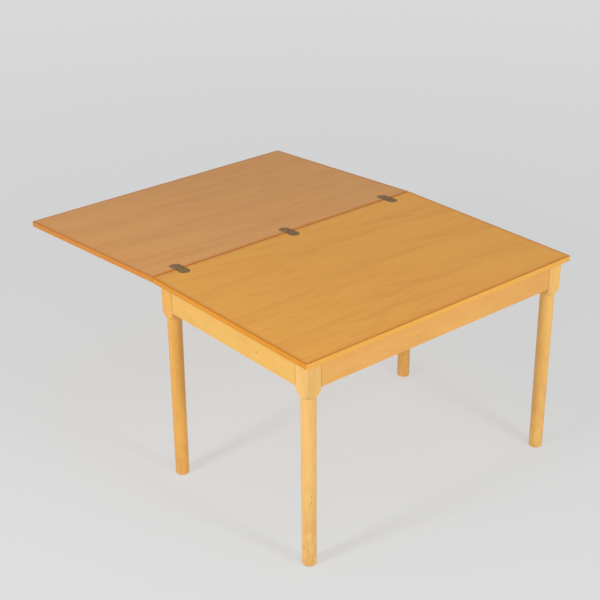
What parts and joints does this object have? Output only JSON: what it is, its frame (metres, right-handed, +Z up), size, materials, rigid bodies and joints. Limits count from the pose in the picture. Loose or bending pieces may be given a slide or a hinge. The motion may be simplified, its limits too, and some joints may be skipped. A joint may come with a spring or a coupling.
{
  "type": "fold-over drop leaf table",
  "caption": "Beech table with turned legs and a square apron; an equal hinged leaf opens beside the fixed top and hangs just below level.",
  "frame": {"origin": "middle of the joint between the fixed half and the leaf, dropped to the floor, which is the middle of the footprint at rest", "axes": "+X across the joint towards the fixed half, +Y along the joint, +Z up"},
  "size_m": [1.5, 1.12, 0.72],
  "materials": {
    "top_veneer": "satin lacquered beech veneer, grain along the joint",
    "leaf_veneer": "satin lacquered beech veneer, slightly browner than the fixed half",
    "edge_lipping": "satin lacquered solid edge strip",
    "beech_frame": "satin lacquered solid beech",
    "inner_softwood": "unfinished planed softwood",
    "aged_brass": "tarnished satin brass",
    "steel": "zinc plated steel"
  },
  "bodies": {
    "table": {"apron_back": "beech_frame", "apron_front": "beech_frame", "apron_joint": "beech_frame", "apron_outer": "beech_frame", "corner_block_joint_back": "inner_softwood", "corner_block_joint_front": "inner_softwood", "corner_block_outer_back": "inner_softwood", "corner_block_outer_front": "inner_softwood", "corner_bolt_joint_back": "steel", "corner_bolt_joint_front": "steel", "corner_bolt_outer_back": "steel", "corner_bolt_outer_front": "steel", "hinge_pin_top_1": "steel", "hinge_pin_top_2": "steel", "hinge_pin_top_3": "steel", "hinge_plate_top_1": "aged_brass", "hinge_plate_top_2": "aged_brass", "hinge_plate_top_3": "aged_brass", "hinge_screw_top_1_1": "aged_brass", "hinge_screw_top_1_2": "aged_brass", "hinge_screw_top_2_1": "aged_brass", "hinge_screw_top_2_2": "aged_brass", "hinge_screw_top_3_1": "aged_brass", "hinge_screw_top_3_2": "aged_brass", "leg_joint_back": "beech_frame", "leg_joint_front": "beech_frame", "leg_outer_back": "beech_frame", "leg_outer_front": "beech_frame", "pivot_bolt": "steel", "pivot_insert": "steel", "pivot_rail": "inner_softwood", "pivot_washer": "steel", "top_edge_back": "edge_lipping", "top_edge_front": "edge_lipping", "top_edge_joint": "edge_lipping", "top_edge_outer": "edge_lipping", "top_panel": "top_veneer"},
    "hinge_links": {"hinge_link_1": "aged_brass", "hinge_link_2": "aged_brass", "hinge_link_3": "aged_brass"},
    "leaf": {"hinge_pin_leaf_1": "steel", "hinge_pin_leaf_2": "steel", "hinge_pin_leaf_3": "steel", "hinge_plate_leaf_1": "aged_brass", "hinge_plate_leaf_2": "aged_brass", "hinge_plate_leaf_3": "aged_brass", "hinge_screw_leaf_1_1": "aged_brass", "hinge_screw_leaf_1_2": "aged_brass", "hinge_screw_leaf_2_1": "aged_brass", "hinge_screw_leaf_2_2": "aged_brass", "hinge_screw_leaf_3_1": "aged_brass", "hinge_screw_leaf_3_2": "aged_brass", "leaf_edge_back": "edge_lipping", "leaf_edge_front": "edge_lipping", "leaf_edge_joint": "edge_lipping", "leaf_edge_outer": "edge_lipping", "leaf_panel": "leaf_veneer"}
  },
  "joints": [
    {"name": "leaf_fold", "type": "hinge", "parent": "table", "child": "leaf", "pos_m": [0, 0, 0.7203], "axis": [0, 1, 0], "range_deg": [0, 183.6]},
    {"name": "link_fold", "type": "hinge", "parent": "table", "child": "hinge_links", "pos_m": [0.0033, 0, 0.717], "axis": [0, 1, 0], "range_deg": [0, 91.8]}
  ],
  "couplings": [
    {"joint": "link_fold", "follows": "leaf_fold", "ratio": 0.5}
  ]
}
